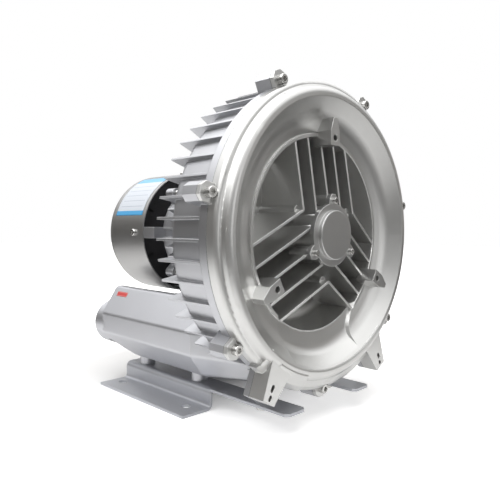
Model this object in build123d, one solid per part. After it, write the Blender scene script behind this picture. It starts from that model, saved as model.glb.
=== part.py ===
from build123d import *
import os
from math import asin, cos, degrees, radians, sin, sqrt, tan

# Side channel blower, in millimetres: a cast housing and a cast front cover hold a bladed impeller,
# which sits on the shaft of a finned motor. Air goes in and out through a twin silencer below the motor.
#
# Pieces are drawn as they are seen from the front: x to the right, y up, z towards the viewer. The
# shaft runs along z through x = y = 0. A depth is a distance behind the seats' front plane, so it is
# minus z. place() turns a piece into the finished frame: +Z up, front cover to -Y, motor to +Y, origin
# on the floor at the centre of the four foot holes.

# Stance: feet and floor
shaft_height = 197.0
foot_hole_span_x = 177.5
foot_hole_span_y = 131.5
foot_hole_d = 11.0
foot_hole_front_depth = 127.0
bracket_sheet = 3.0
bracket_bend = 4.0
bracket_web_x = 71.0
bracket_foot_width = 40.5
bracket_top_width = 29.5
bracket_height = 24.0
bracket_foot_front_depth = 104.0
bracket_front_depth = -8.8
bracket_back_depth = 275.5
bracket_nose_chamfer = 4.0
foot_screw_x = 56.0
foot_screw_d = 8.0
foot_screw_length = 20.0
foot_washer = 1.6
foot_screw_depths = (40.0, 142.0, 250.0)
foot_pad_d = 20.0
foot_pad_top = -141.5

# Fits and running gaps, all radial; then how far a cut overshoots and how deep joined forms sink in
running_fit = 0.05
body_gap = 0.5
screw_clearance = 0.3
thread_clearance = 0.05
cut_over = 1.0
merge = 1.0

# Front cover: flange, channel bulge, concave ring, dish with its ribs, and the bearing hub
wall = 4.5
channel_r = 149.0
flange_width = 10.5
flange_front = -1.0
flange_back = 10.5
bulge_root_out = 5.0
bulge_out = 1.0
crest_in = 6.5
crest_depth = -8.5
dish_r = 103.5
trough_out = 20.5
trough_depth = 7.0
lip_width = 3.5
lip_depth = 9.2
lip_height = 1.8
dish_slope = 5.5
dish_floor_depth = 55.0
dish_corner = 10.0
hub_wall = 5.0
hub_front = -2.0
hub_foot_out = 5.0
rib_thickness = 2.6
rib_pitch = 21.5
ribs_per_group = 5
rib_outer_depth = 11.5
rib_inner_depth = -1.0
group_angles = (90.0, 210.0, 330.0)
corner_boss_d = 10.5
corner_boss_front = 6.0
tripod_in = 2.5
tripod_hole_d = 6.8
tripod_hole_depth = 18.0
tripod_face_depth = -8.0
tripod_width = 15.0
tripod_gusset = 21.0

# Stripper: the sector at the bottom that parts the suction side from the pressure side. The recess in
# front of it runs through points at a share of the way from dish to crest, an angle and a corner radius.
stripper_from = -112.0
stripper_to = -68.0
recess_from = -130.0
recess_to = -36.0
recess_window = ((-0.24, -131.0, 0.0), (0.22, -125.0, 18.0), (0.78, -109.0, 8.0), (1.19, -108.0, 0.0),
                 (1.19, -72.0, 0.0), (0.78, -71.0, 8.0), (0.22, -63.0, 18.0), (-0.24, -36.0, 0.0))
recess_draft = 24.0
recess_floor_depth = 11.0
recess_lip_depth = 14.5
band_from = -131.0
band_to = -49.0
band_out = 3.0
band_front = -3.0
pad_angles = (-124.0, -106.0)
pad_height = 1.5

# Screw heads: radius, hexagon and height as shares of the thread's diameter
cap_head_ratio = 0.83
cap_socket_ratio = 0.48
cap_socket_depth_ratio = 0.55
cap_edge_ratio = 0.08
hex_head_ratio = 0.93
hex_head_height_ratio = 0.65
pan_head_ratio = 0.9
pan_head_height_ratio = 0.6
pan_socket_ratio = 0.32

# Cover screws and their lugs
screw_count = 7
screw_circle_out = 5.5
screw_d = 6.0
screw_length = 20.0
lug_seat_depth = 6.0
lug_width = 18.0
lug_reach = 9.5
lug_chamfer = 5.0
lug_back_depth = 30.0

# Splayed lugs at the lower corners, half on the cover and half on the housing
leg_front_depth = -8.0
leg_back_depth = 18.0
leg_outline = ((92.0, -112.0), (106.0, -152.0), (91.0, -160.5), (66.0, -132.0))
leg_slots = ((93.0, -143.0, 7.5, 4.4), (96.5, -151.5, 6.0, 3.8))
leg_angle = 31.0

# Impeller housing: drum, rear wall, fins and lower body
gasket_thickness = 0.5
housing_flange_back = 22.0
drum_in = 5.5
drum_back = 74.0
rear_wall = 6.0
fin_count = 49
fin_thickness = 2.4
fin_height = 4.0
fin_front_depth = 20.0
fin_back_depth = 86.0
fin_root_r = 126.0
duct_length = 42.0
duct_width = 28.0
duct_r = 129.0
duct_angle = 53.0
lower_body_front_depth = 20.0
lower_body_back_depth = 104.0
lower_body_front_share = 0.74
lower_body_front_bottom = -152.3

# Bearings: bore, outside diameter and width
front_bearing = (25.0, 52.0, 15.0)
rear_bearing = (20.0, 47.0, 14.0)
bearing_race_share = 0.3
bearing_shield = 1.0
front_bearing_depth = 2.0
rear_bearing_depth = 211.0

# Bearing cap
cap_flange_out = 2.0
cap_flange_thickness = 5.0
cap_disc_height = 4.6
cap_cavity_r = 21.0
cap_roof = 3.0
cap_disc_edge = 1.2
cap_spigot = 2.0
cap_screw_out = 5.0
cap_screw_d = 4.0
cap_screw_length = 16.0
cap_ear_width = 13.0
cap_ear_reach = 7.0
cap_ear_chamfer = 3.5

# Impeller
impeller_hub_r = 20.0
impeller_hub_front = 32.0
impeller_back_gap = 1.5
impeller_face_gap = 2.0
impeller_web = 4.0
blade_count = 44
blade_thickness = 2.4
blade_root_gap = 3.0
blade_tip_gap = 1.5
blade_front = 22.0
blade_back = 48.0
impeller_disc = 3.0
impeller_bell = 2.6
bell_foot_gap = 2.7

# Shaft: its steps stand between the bearings' bores and the core's seat
shaft_seal_seat_r = 15.0
shaft_seal_seat_back = 98.0
shaft_core_seat_r = 16.0
shaft_core_seat_back = 192.0
shaft_shoulder_r = 13.0
shaft_bearing_back = 232.0
shaft_fan_seat_r = 9.0
shaft_back = 268.0
key_width = 8.0
key_height = 7.0
key_depth = 4.0
key_length = 28.0
end_screw_d = 8.0
end_screw_length = 24.0
end_washer_r = 15.0
end_washer_thickness = 2.0
seal_width = 7.0
sleeve_wall = 3.5
seal_height = 5.0
cover_seal_depth = 21.0
wall_seal_height = 10.0
seal_boss_height = 5.0

# Motor
frame_inner_r = 55.0
frame_wall = 5.0
frame_back = 205.0
frame_fin_height = 9.5
frame_fin_count = 36
frame_fin_thickness = 2.0
frame_flange_out = 6.0
frame_flange_thickness = 8.0
frame_ear_out = 10.0
frame_ear_d = 13.0
frame_ear_angles = (45.0, 135.0, 225.0, 315.0)
frame_screw_d = 5.0
shield_screw_length = 14.0
flange_screw_length = 13.5
stator_front = 100.0
stator_back = 190.0
air_gap = 0.4
rotor_r = 33.0
winding_inner_gap = 5.0
winding_outer_gap = 3.0
winding_height = 13.0
rotor_ring_height = 7.0
shield_thickness = 6.0
shield_hub_wall = 6.5
shield_lip = 4.0
shield_arm_width = 14.0
shield_arm_thickness = 3.4
shield_arm_back = 257.0
cowl_r = 79.5
cowl_sheet = 1.5
cowl_front = 227.0
cowl_back = 313.0
cowl_round = 12.0
cowl_screw_depth = 247.0
cowl_screw_d = 5.0
grille_rings = ((13.0, 21.0), (26.0, 34.0), (39.0, 47.0), (52.0, 60.0))
grille_spokes = 6
grille_spoke_width = 5.0
fan_hub_r = 15.0
fan_disc_r = 62.0
fan_root_r = 38.0
fan_tip_gap = 8.0
fan_front = 238.0
fan_back = 262.0
fan_tip_back = 256.0
fan_blade_count = 7
fan_blade_thickness = 2.2
clip_thickness = 1.2
clip_r = 12.0

# Terminal box on the right side of the motor
box_front = 98.0
box_length = 82.0
box_height = 68.0
box_saddle_gap = 6.5
box_depth = 34.0
box_wall = 3.0
box_lid = 9.0
box_corner = 6.0
lid_screw_d = 4.0
lid_screw_length = 12.0
lid_edge = 2.5
board_size = (44.0, 34.0, 7.0)
board_stud_d = 4.0
board_stud_height = 16.0
gland_hole_d = 16.0
gland_hex = 22.0
gland_length = 18.0
gland_bore_r = 5.0

# Silencer: half of its outline, from the valley under the motor round to the bottom
silencer_half = ((0.0, -90.0, 0.0), (42.0, -90.0, 8.0), (71.0, -72.0, 5.0), (80.0, -72.0, 5.0),
                 (102.0, -106.0, 7.0), (102.0, -131.0, 7.0), (83.0, -157.0, 9.0), (0.0, -157.0, 0.0))
silencer_back = 289.0
silencer_wall = 4.0
silencer_back_wall = 6.0
silencer_web = 14.0
silencer_edge = 3.0
silencer_tail_depth = 232.0
silencer_tail_rise = 20.0
port_x = 74.0
port_y = -121.0
port_bore_r = 22.4
port_collar_r = 28.5
port_collar_back = 305.0
foam_x = 64.0
foam_outer_r = 29.0
foam_inner_r = 20.0
soft_gap = 0.3
foam_port_gap = 7.0
silencer_bolt_d = 6.0
silencer_bolt_ys = (-99.0, -127.0)
silencer_boss_x = 75.0
silencer_boss_y = -81.0
silencer_boss_r = 7.0
silencer_bolt_grip = 12.0

# Places that follow from the values above
flange_r = channel_r + flange_width
bulge_root_r = channel_r + bulge_root_out
bulge_r = channel_r + bulge_out
crest_r = channel_r - crest_in
trough_r = dish_r + trough_out
dish_floor_r = dish_r - dish_slope
tripod_r = dish_r - tripod_in
band_r = flange_r + band_out
screw_circle_r = flange_r + screw_circle_out
lug_outer_r = screw_circle_r + lug_reach
drum_r = flange_r - drum_in
fin_tip_r = drum_r + fin_height
gasket_back = flange_back + gasket_thickness
wall_front = drum_back - rear_wall
blade_inner_r = dish_r + wall + blade_root_gap
blade_outer_r = channel_r - blade_tip_gap
impeller_web_r = dish_floor_r + wall + bell_foot_gap
impeller_hub_back = wall_front - impeller_back_gap
shaft_front = front_bearing_depth
shaft_steps = ((front_bearing[0] / 2, impeller_hub_back), (shaft_seal_seat_r, shaft_seal_seat_back),
               (shaft_core_seat_r, shaft_core_seat_back), (shaft_shoulder_r, rear_bearing_depth),
               (rear_bearing[0] / 2, shaft_bearing_back), (shaft_fan_seat_r, shaft_back))
sleeve_r = front_bearing[0] / 2 + sleeve_wall
cover_seal_r = sleeve_r + seal_height
wall_seal_r = shaft_seal_seat_r + wall_seal_height
hub_r = front_bearing[1] / 2 + hub_wall
hub_foot_r = hub_r + hub_foot_out
cap_flange_r = hub_r + cap_flange_out
cap_disc_r = front_bearing[1] / 2
cap_screw_r = hub_r + cap_screw_out
cap_ear_out = cap_screw_r + cap_ear_reach
frame_outer_r = frame_inner_r + frame_wall
frame_fin_r = frame_outer_r + frame_fin_height
frame_flange_r = frame_outer_r + frame_flange_out
frame_ear_r = frame_outer_r + frame_ear_out
winding_inner_r = rotor_r + winding_inner_gap
winding_outer_r = frame_inner_r - winding_outer_gap
shield_hub_r = rear_bearing[1] / 2 + shield_hub_wall
fan_tip_r = cowl_r - cowl_sheet - fan_tip_gap
box_saddle_x = frame_fin_r + box_saddle_gap
floor_back = dish_floor_depth + wall
foot_hole_x = foot_hole_span_x / 2
foot_hole_depths = (foot_hole_front_depth, foot_hole_front_depth + foot_hole_span_y)
foot_centre_depth = foot_hole_front_depth + foot_hole_span_y / 2
foot_spots = [(side * foot_screw_x, depth) for side in (-1, 1) for depth in foot_screw_depths]
bracket_top_y = bracket_height - shaft_height
low_flange_y = bracket_top_y - bracket_sheet
cap_front = hub_front - cap_flange_thickness
front_bearing_back = front_bearing_depth + front_bearing[2]
rear_bearing_back = rear_bearing_depth + rear_bearing[2]
frame_flange_back = drum_back + frame_flange_thickness
frame_ear_front = frame_back - frame_flange_thickness
shield_back = frame_back + shield_thickness
silencer_bottom = silencer_half[-1][1]
silencer_half_width = silencer_half[4][0]
silencer_cavity_back = silencer_back - silencer_back_wall
box_back = box_front + box_length
box_middle_depth = (box_front + box_back) / 2
box_lid_x = box_saddle_x + box_depth
gland_x = box_saddle_x + box_depth / 2
lid_screw_inset = box_corner + 1.0
screw_angles = [-90 + k * 360 / screw_count for k in range(screw_count)]
arm_angles = (0.0, 90.0, 180.0, 270.0)


def place(piece):
    """Turn a piece from the front view into the finished frame."""
    return Pos(0, -foot_centre_depth, shaft_height) * Rot(90, 0, 0) * piece


def slab(section, front, back):
    """A front-view outline carried straight back from one depth to another."""
    return Pos(0, 0, -back) * extrude(section, back - front)


def ring(outer, inner, front, back):
    """A round disc or ring about the shaft between two depths."""
    section = Circle(outer)
    if inner > 0:
        section -= Circle(inner)
    return slab(section, front, back)


def outline(corners):
    """A front-view face through (x, y) or (x, y, corner radius) points."""
    rounds = [corner[2] if len(corner) > 2 else 0 for corner in corners]
    points = [(corner[0], corner[1]) for corner in corners]
    return make_face(FilletPolyline(*points, radius=rounds, close=True))


def turned(corners, start=0.0, sweep=360.0):
    """A profile of (radius, depth) or (radius, depth, corner radius) points, turned about the shaft."""
    profile = outline([(corner[0], -corner[1], *corner[2:]) for corner in corners])
    return Rot(0, 0, start) * revolve(Plane.XZ * profile, Axis.Z, sweep)


def radial_plate(corners, thickness):
    """A plate in the plane of the shaft that points right, through (radius, depth) points."""
    face = make_face(Polyline(*[(radius, -depth) for radius, depth in corners], close=True))
    return extrude(Plane.XZ * face, thickness / 2, both=True)


def polar(radius, angle):
    """Front-view point at a radius and an angle from the right, anticlockwise."""
    return radius * cos(radians(angle)), radius * sin(radians(angle))


def around(piece, angles):
    """Copies of a piece turned about the shaft."""
    return [Rot(0, 0, angle) * piece for angle in angles]


def mirrored(corners):
    """A half outline on the right, closed by its mirror image on the left."""
    left = [(-corner[0], *corner[1:]) for corner in reversed(corners) if corner[0] > 0]
    return outline(list(corners) + left)


def shank(diameter, length):
    """Plain shank of a screw, from z = 0 down."""
    return Pos(0, 0, -length) * extrude(Circle(diameter / 2 - thread_clearance), length)


def socket_screw(diameter, length):
    """Socket head cap screw with its seat at z = 0, head to +z and shank to -z."""
    head = extrude(Circle(diameter * cap_head_ratio), diameter)
    head = chamfer(head.edges().sort_by(Axis.Z)[-1], diameter * cap_edge_ratio)
    socket = extrude(RegularPolygon(diameter * cap_socket_ratio, 6), diameter)
    return head + shank(diameter, length) - Pos(0, 0, diameter * (1 - cap_socket_depth_ratio)) * socket


def hex_screw(diameter, length):
    """Hexagon head screw with its seat at z = 0, head to +z and shank to -z."""
    head = extrude(RegularPolygon(diameter * hex_head_ratio, 6), diameter * hex_head_height_ratio)
    return head + shank(diameter, length)


def screw_group(screw, spots):
    """Identical screws as one group of separate solids."""
    return Compound(children=[spot * screw for spot in spots])


def cover_screw_places():
    """Places of the cover screws on their circle, at depth 0."""
    return [Pos(*polar(screw_circle_r, angle), 0) for angle in screw_angles]


def lid_screw_places():
    """Places of the lid screws on the outer face of the terminal box lid, pointing out to the right."""
    return [Pos(box_lid_x + box_lid, side * (box_height / 2 - lid_screw_inset), -depth) * Rot(0, 90, 0)
            for side in (-1, 1) for depth in (box_front + lid_screw_inset, box_back - lid_screw_inset)]


def lug(front, back):
    """One screw lug on the rim, pointing right, with chamfered outer corners."""
    half = lug_width / 2
    root = drum_r - wall
    corners = [(root, -half), (lug_outer_r - lug_chamfer, -half), (lug_outer_r, -half + lug_chamfer),
               (lug_outer_r, half - lug_chamfer), (lug_outer_r - lug_chamfer, half), (root, half)]
    return slab(outline(corners), front, back)


def leg_half(side, front, back):
    """The splayed lug at one lower corner, between two depths, with its two cored slots."""
    section = make_face(Polyline(*[(side * x, y) for x, y in leg_outline], close=True))
    for x, y, length, width in leg_slots:
        section -= Pos(side * x, y) * Rot(0, 0, side * (leg_angle - 90)) * SlotOverall(length, width)
    return slab(section, front, back)


def cover_rib(offset):
    """One rib of a group that points right, at a sideways offset from the group's middle."""
    outer_top = sqrt((dish_r + wall / 2) ** 2 - offset ** 2)
    outer_foot = sqrt((dish_floor_r + wall / 2) ** 2 - offset ** 2)
    if abs(offset) < hub_r:
        inner = sqrt((hub_r - merge) ** 2 - offset ** 2)
    else:
        inner = abs(offset) * tan(radians(30))
    slope = (rib_outer_depth - rib_inner_depth) / (dish_r - hub_r)
    inner_top = max(hub_front, rib_inner_depth + slope * (inner - hub_r))
    outer_top_depth = rib_inner_depth + slope * (outer_top - hub_r)
    foot = dish_floor_depth + wall / 2
    corners = [(inner, inner_top), (outer_top, outer_top_depth), (outer_foot, foot), (inner, foot)]
    return Pos(0, offset, 0) * radial_plate(corners, rib_thickness)


def tripod_boss():
    """Threaded boss on the dish wall, pointing right: a block that tapers to a gusset at the crest."""
    half = tripod_width / 2
    inner = tripod_r - half
    gusset = rib_thickness
    corners = [(inner, -half), (tripod_r + half, -half), (tripod_r + tripod_gusset, -gusset),
               (tripod_r + tripod_gusset, gusset), (tripod_r + half, half), (inner, half)]
    deep = tripod_face_depth + tripod_hole_depth + wall
    ahead = tripod_face_depth - 1
    middle = wall / 2
    reach = turned([(inner - 1, ahead), (crest_r, ahead), (crest_r, crest_depth + middle),
                    (trough_r, trough_depth + middle - 1), (dish_r + middle, lip_depth + middle),
                    (dish_r + middle, deep), (inner - 1, deep)])
    return slab(outline(corners), tripod_face_depth, deep) & reach


def make_cover():
    """Front cover casting: one turned section, then the ribs, bosses, stripper, lugs and holes."""
    lip_r = dish_r + lip_width
    back_lip_r = dish_r + wall
    front = [(flange_r, flange_back), (flange_r, flange_front, 4), (bulge_root_r, flange_front, 2),
             (bulge_r, crest_depth, 6.5), (crest_r, crest_depth, 0.8), (trough_r, trough_depth, 30),
             (lip_r, lip_depth + lip_height), (lip_r, lip_depth), (dish_r, lip_depth, 0.8),
             (dish_floor_r, dish_floor_depth, dish_corner), (hub_foot_r, dish_floor_depth, 4),
             (hub_r, dish_floor_depth * 0.45), (hub_r, hub_front)]
    bearing_r = front_bearing[1] / 2
    hub_back = impeller_hub_front - impeller_face_gap
    hub_bore = impeller_hub_r + wall
    back = [(bearing_r, hub_front), (bearing_r, front_bearing_back), (cover_seal_r, front_bearing_back),
            (cover_seal_r, hub_back), (hub_bore, hub_back),
            (hub_bore, floor_back), (dish_floor_r + wall, floor_back, dish_corner + 2),
            (back_lip_r, lip_depth + lip_height + wall, 2), (trough_r + 2, trough_depth + wall, 30),
            (crest_r - 1, crest_depth + wall, 2), (bulge_r - wall * 0.6, crest_depth + wall, 4),
            (channel_r, flange_back)]
    cover = turned(front + back)

    recess_back = blade_front - body_gap
    sweep_start = recess_from - 3
    sweep = recess_to - recess_from + 6
    inside = wall / 2
    backing = turned([(back_lip_r - merge, lip_depth + lip_height + wall),
                      (lip_r, lip_depth + lip_height + inside),
                      (trough_r, trough_depth + inside, 30), (crest_r, crest_depth + inside),
                      (bulge_r - wall, crest_depth + inside), (channel_r + merge, crest_depth + 2 * wall),
                      (channel_r + merge, flange_back),
                      (channel_r - body_gap, flange_back), (channel_r - body_gap, recess_back - 2),
                      (back_lip_r - merge, recess_back - 2)], sweep_start, sweep)
    stripper = turned([(back_lip_r, recess_back - 3), (channel_r - body_gap, recess_back - 3),
                       (channel_r - body_gap, recess_back), (back_lip_r, recess_back)],
                      stripper_from, stripper_to - stripper_from)
    band = turned([(crest_r - 2, crest_depth + 1), (crest_r, crest_depth, 0.8), (band_r - 4, band_front),
                   (band_r, band_front + 4), (band_r, flange_back), (crest_r - 2, flange_back)],
                  band_from, band_to - band_from)
    pad = turned([(crest_r + 3, crest_depth + 0.2), (crest_r + 5, crest_depth - 0.6),
                  (band_r - 4, band_front - pad_height), (band_r + pad_height, band_front + 3),
                  (band_r + pad_height, flange_back - 1), (crest_r + 3, flange_back - 1)],
                 pad_angles[0], pad_angles[1] - pad_angles[0])

    recess_ring = turned([(dish_r - 3, recess_lip_depth), (dish_r + 1, recess_lip_depth),
                          (trough_r, recess_floor_depth, 20), (crest_r - 3, crest_depth + 2),
                          (crest_r - 3, crest_depth - 5), (dish_r - 3, crest_depth - 5)])
    window = outline([(*polar(dish_r + share * (crest_r - dish_r), angle), corner)
                      for share, angle, corner in recess_window])
    room = extrude(window, recess_lip_depth - crest_depth + 2 * wall, taper=-recess_draft)
    recess = recess_ring & Pos(0, 0, -recess_lip_depth - wall) * room

    offsets = [(k - (ribs_per_group - 1) / 2) * rib_pitch for k in range(ribs_per_group)]
    ribs = [Rot(0, 0, angle) * cover_rib(offset) for angle in group_angles for offset in offsets]
    corner_r = rib_pitch * (ribs_per_group - 1) / 2 / cos(radians(30))
    corner_boss = Pos(corner_r, 0, 0) * ring(corner_boss_d / 2, 0, corner_boss_front, dish_floor_depth + 1)
    hub_ear = Pos(cap_screw_r, 0, 0) * ring(cap_ear_width / 2, 0, hub_front, cap_screw_length + 6)
    lugs = around(lug(lug_seat_depth, flange_back), screw_angles)
    legs = [leg_half(side, leg_front_depth, flange_back) for side in (-1, 1)]

    cover = cover + [backing, stripper, band, pad] + legs
    cover -= recess
    cover = cover + ribs + around(tripod_boss(), group_angles) + lugs + around(hub_ear, group_angles)
    cover = cover + around(corner_boss, [angle + 60 for angle in group_angles])

    screw_hole = ring(screw_d / 2 + screw_clearance, 0, lug_seat_depth - cut_over, flange_back + cut_over)
    seat_space = ring(screw_d * cap_head_ratio + 1, 0, crest_depth - 5, lug_seat_depth)
    tripod_hole = Pos(tripod_r, 0, 0) * ring(tripod_hole_d / 2, 0, tripod_face_depth - cut_over,
                                             tripod_face_depth + tripod_hole_depth)
    cap_hole = Pos(cap_screw_r, 0, 0) * ring(cap_screw_d / 2, 0, hub_front - cut_over, cap_screw_length)
    bearing_seat = ring(bearing_r, 0, hub_front - cut_over, front_bearing_back)
    holes = [spot * hole for spot in cover_screw_places() for hole in (screw_hole, seat_space)]
    return cover - (holes + around(tripod_hole,
                                   group_angles) + around(cap_hole, group_angles) + [bearing_seat])


def make_housing():
    """Impeller housing: drum, rear wall and lower body in one casting, with fins, lugs and ducts."""
    drum = turned([(0.0, gasket_back), (flange_r, gasket_back), (flange_r, housing_flange_back, 2),
                   (drum_r, housing_flange_back, 3), (drum_r - 1.5, drum_back, 10), (0.0, drum_back)])
    seal_boss = ring(wall_seal_r + rear_wall, 0, drum_back - merge, drum_back + seal_boss_height)

    front_face = mirrored([(x * lower_body_front_share, max(y, lower_body_front_bottom), r)
                           for x, y, r in silencer_half])
    lower = loft([Pos(0, 0, -lower_body_front_depth) * front_face,
                  Pos(0, 0, -lower_body_back_depth) * mirrored(silencer_half)], ruled=True)

    fin = radial_plate([(drum_r - wall, fin_front_depth), (fin_tip_r, fin_front_depth),
                        (fin_tip_r, fin_back_depth),
                        (fin_root_r, drum_back - merge), (drum_r - wall, drum_back - merge)], fin_thickness)
    fin_angles = [-90 + k * 360 / fin_count for k in range(fin_count)]
    lugs = around(lug(gasket_back, lug_back_depth), screw_angles)
    legs = [leg_half(side, gasket_back, leg_back_depth) for side in (-1, 1)]
    pads = [upright(foot_pad_d / 2, side * foot_screw_x, foot_screw_depths[0],
                    foot_pad_top) for side in (-1, 1)]

    body = drum + [seal_boss, lower] + around(fin, fin_angles) + lugs + legs + pads

    cavity = ring(channel_r, 0, gasket_back - cut_over, wall_front)
    stripper_inner_r = blade_inner_r + body_gap
    stripper = turned([(stripper_inner_r, blade_back + body_gap), (channel_r + merge, blade_back + body_gap),
                       (channel_r + merge, wall_front + merge), (stripper_inner_r, wall_front + merge)],
                      stripper_from, stripper_to - stripper_from)
    body = body - cavity + stripper

    duct_section = SlotOverall(duct_length, duct_width)
    cuts = []
    for side in (-1, 1):
        angle = -90 + side * (90 - duct_angle)
        x, y = polar(duct_r, angle)
        duct = Pos(x, y) * Rot(0, 0, angle + 90) * duct_section
        cuts.append(slab(duct, wall_front - cut_over, lower_body_back_depth + cut_over))
        cuts.append(foot_screw_bore(side * foot_screw_x, foot_screw_depths[0]))
    cuts.append(ring(wall_seal_r, 0, wall_front - cut_over, drum_back + seal_boss_height + cut_over))
    thread = ring(screw_d / 2, 0, gasket_back - cut_over, lug_seat_depth + screw_length + cut_over)
    cuts += [spot * thread for spot in cover_screw_places()]
    for angle in frame_ear_angles:
        thread = ring(frame_screw_d / 2, 0, wall_front - cut_over, drum_back + cut_over)
        cuts.append(Pos(*polar(frame_ear_r, angle), 0) * thread)
    cuts += silencer_bolt_bores(lower_body_back_depth - silencer_bolt_grip, lower_body_back_depth + cut_over)
    return body - cuts


def upright(radius, x, depth, top):
    """A round cast pad from the brackets' top face up to a height y, at one depth."""
    return Pos(x, bracket_top_y, -depth) * Rot(-90, 0, 0) * extrude(Circle(radius), top - bracket_top_y)


def foot_screw_bore(x, depth):
    """Threaded hole up into a pad from the brackets' top face."""
    deep = foot_screw_length - bracket_sheet - foot_washer + cut_over
    bore = extrude(Circle(foot_screw_d / 2), deep + cut_over)
    return Pos(x, bracket_top_y - cut_over, -depth) * Rot(-90, 0, 0) * bore


def silencer_bolt_spots():
    """Front-view places of the four long bolts that hold the silencer."""
    return [(0, silencer_bolt_ys[0]), (0, silencer_bolt_ys[1]),
            (-silencer_boss_x, silencer_boss_y), (silencer_boss_x, silencer_boss_y)]


def silencer_bolt_bores(front, back):
    """Bolt holes of the silencer between two depths."""
    return [Pos(x, y, 0) * ring(silencer_bolt_d / 2, 0, front, back) for x, y in silencer_bolt_spots()]


def below_tail(lift):
    """The space under the silencer's rising tail, lifted by a distance."""
    run = silencer_back - silencer_tail_depth
    bottom = silencer_bottom + lift
    side = Polyline((silencer_tail_depth - run, bottom - silencer_tail_rise),
                    (silencer_back + run, bottom + 2 * silencer_tail_rise),
                    (silencer_back + run, bottom - silencer_tail_rise), close=True)
    return Rot(0, 90, 0) * extrude(make_face(side), 2 * silencer_half_width, both=True)


def tail_bottom(depth):
    """Height of the silencer's underside at a depth."""
    slope = silencer_tail_rise / (silencer_back - silencer_tail_depth)
    return silencer_bottom + max(0.0, depth - silencer_tail_depth) * slope


def make_silencer():
    """Silencer casting: two chambers side by side, open to the front, with a round port in each back wall."""
    front = lower_body_back_depth
    body = slab(mirrored(silencer_half), front, silencer_back)
    body = fillet(body.faces().sort_by(Axis.Z)[0].edges(), silencer_edge) - below_tail(0)
    room = Rectangle(silencer_half_width, 2 * silencer_half_width)
    chamber = offset(mirrored(silencer_half), -silencer_wall) & (
        Pos((silencer_web + silencer_half_width) / 2, silencer_bottom) * room)
    chamber -= Pos(silencer_boss_x, silencer_boss_y) * Circle(silencer_boss_r)
    cavity = slab(chamber, front - cut_over, silencer_cavity_back) - below_tail(silencer_wall)
    spots = [spot for spot in foot_spots if spot[1] > front]
    body += [upright(foot_pad_d / 2, x, depth, tail_bottom(depth) + 2 * silencer_wall) for x, depth in spots]
    collar = ring(port_collar_r, 0, silencer_cavity_back, port_collar_back)
    bore = ring(port_bore_r, 0, silencer_cavity_back - cut_over, port_collar_back + cut_over)
    body += [Pos(side * port_x, port_y, 0) * collar for side in (-1, 1)]
    cuts = [cavity, mirror(cavity, Plane.YZ)] + [Pos(side * port_x, port_y, 0) * bore for side in (-1, 1)]
    cuts += [foot_screw_bore(x, depth) for x, depth in spots]
    return body - (cuts + silencer_bolt_bores(front - cut_over, silencer_back + cut_over))


def make_foam(side):
    """Absorber tube in one chamber: it lies on the chamber's floor and ends short of the port."""
    floor = silencer_bottom + silencer_wall + soft_gap
    front = lower_body_back_depth + soft_gap
    back = silencer_cavity_back - foam_port_gap
    tube = Pos(side * foam_x, floor + foam_outer_r, 0) * ring(foam_outer_r, foam_inner_r, front, back)
    return tube - below_tail(silencer_wall + soft_gap)


def make_gasket():
    """Flat gasket between cover and housing, with the lugs' and the legs' outline."""
    band = ring(flange_r, channel_r + 1, flange_back, gasket_back)
    lugs = around(lug(flange_back, gasket_back), screw_angles)
    legs = [leg_half(side, flange_back, gasket_back) for side in (-1, 1)]
    hole = ring(screw_d / 2 + screw_clearance, 0, flange_back - cut_over, gasket_back + cut_over)
    inside = ring(channel_r + 1, 0, flange_back - cut_over, gasket_back + cut_over)
    return band + lugs + legs - ([spot * hole for spot in cover_screw_places()] + [inside])


def make_cap():
    """Bearing cap: flange with three ears, raised disc and a spigot that holds the wave spring."""
    half = cap_ear_width / 2
    tip = half - cap_ear_chamfer
    ear = slab(outline([(cap_disc_r, -half - 2), (cap_screw_r + 2, -half), (cap_ear_out, -tip),
                        (cap_ear_out, tip), (cap_screw_r + 2, half), (cap_disc_r, half + 2)]),
               cap_front, hub_front)
    disc = ring(cap_disc_r, 0, cap_front - cap_disc_height, cap_front)
    disc = fillet(disc.edges().sort_by(Axis.Z)[-1], cap_disc_edge)
    spigot = ring(front_bearing[1] / 2 - running_fit, cap_cavity_r, hub_front, hub_front + cap_spigot)
    cap = ring(cap_flange_r, 0, cap_front, hub_front) + around(ear, group_angles) + [disc, spigot]
    cavity = ring(cap_cavity_r, 0, cap_front - cap_disc_height + cap_roof, hub_front + cap_spigot + cut_over)
    hole = Pos(cap_screw_r, 0, 0) * ring(cap_screw_d / 2 + screw_clearance, 0, cap_front - cut_over,
                                         hub_front + cut_over)
    return cap - ([cavity] + around(hole, group_angles))


def races(bearing, depth):
    """Outer race with its two shields, and inner race, of a sealed ball bearing."""
    bore, outside, width = bearing
    thick = (outside - bore) / 2 * bearing_race_share
    outer = ring(outside / 2, outside / 2 - thick, depth, depth + width)
    for front in (depth, depth + width - bearing_shield):
        outer += ring(outside / 2 - thick / 2, bore / 2 + thick + soft_gap, front, front + bearing_shield)
    return outer, ring(bore / 2 + thick, bore / 2, depth, depth + width)


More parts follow.
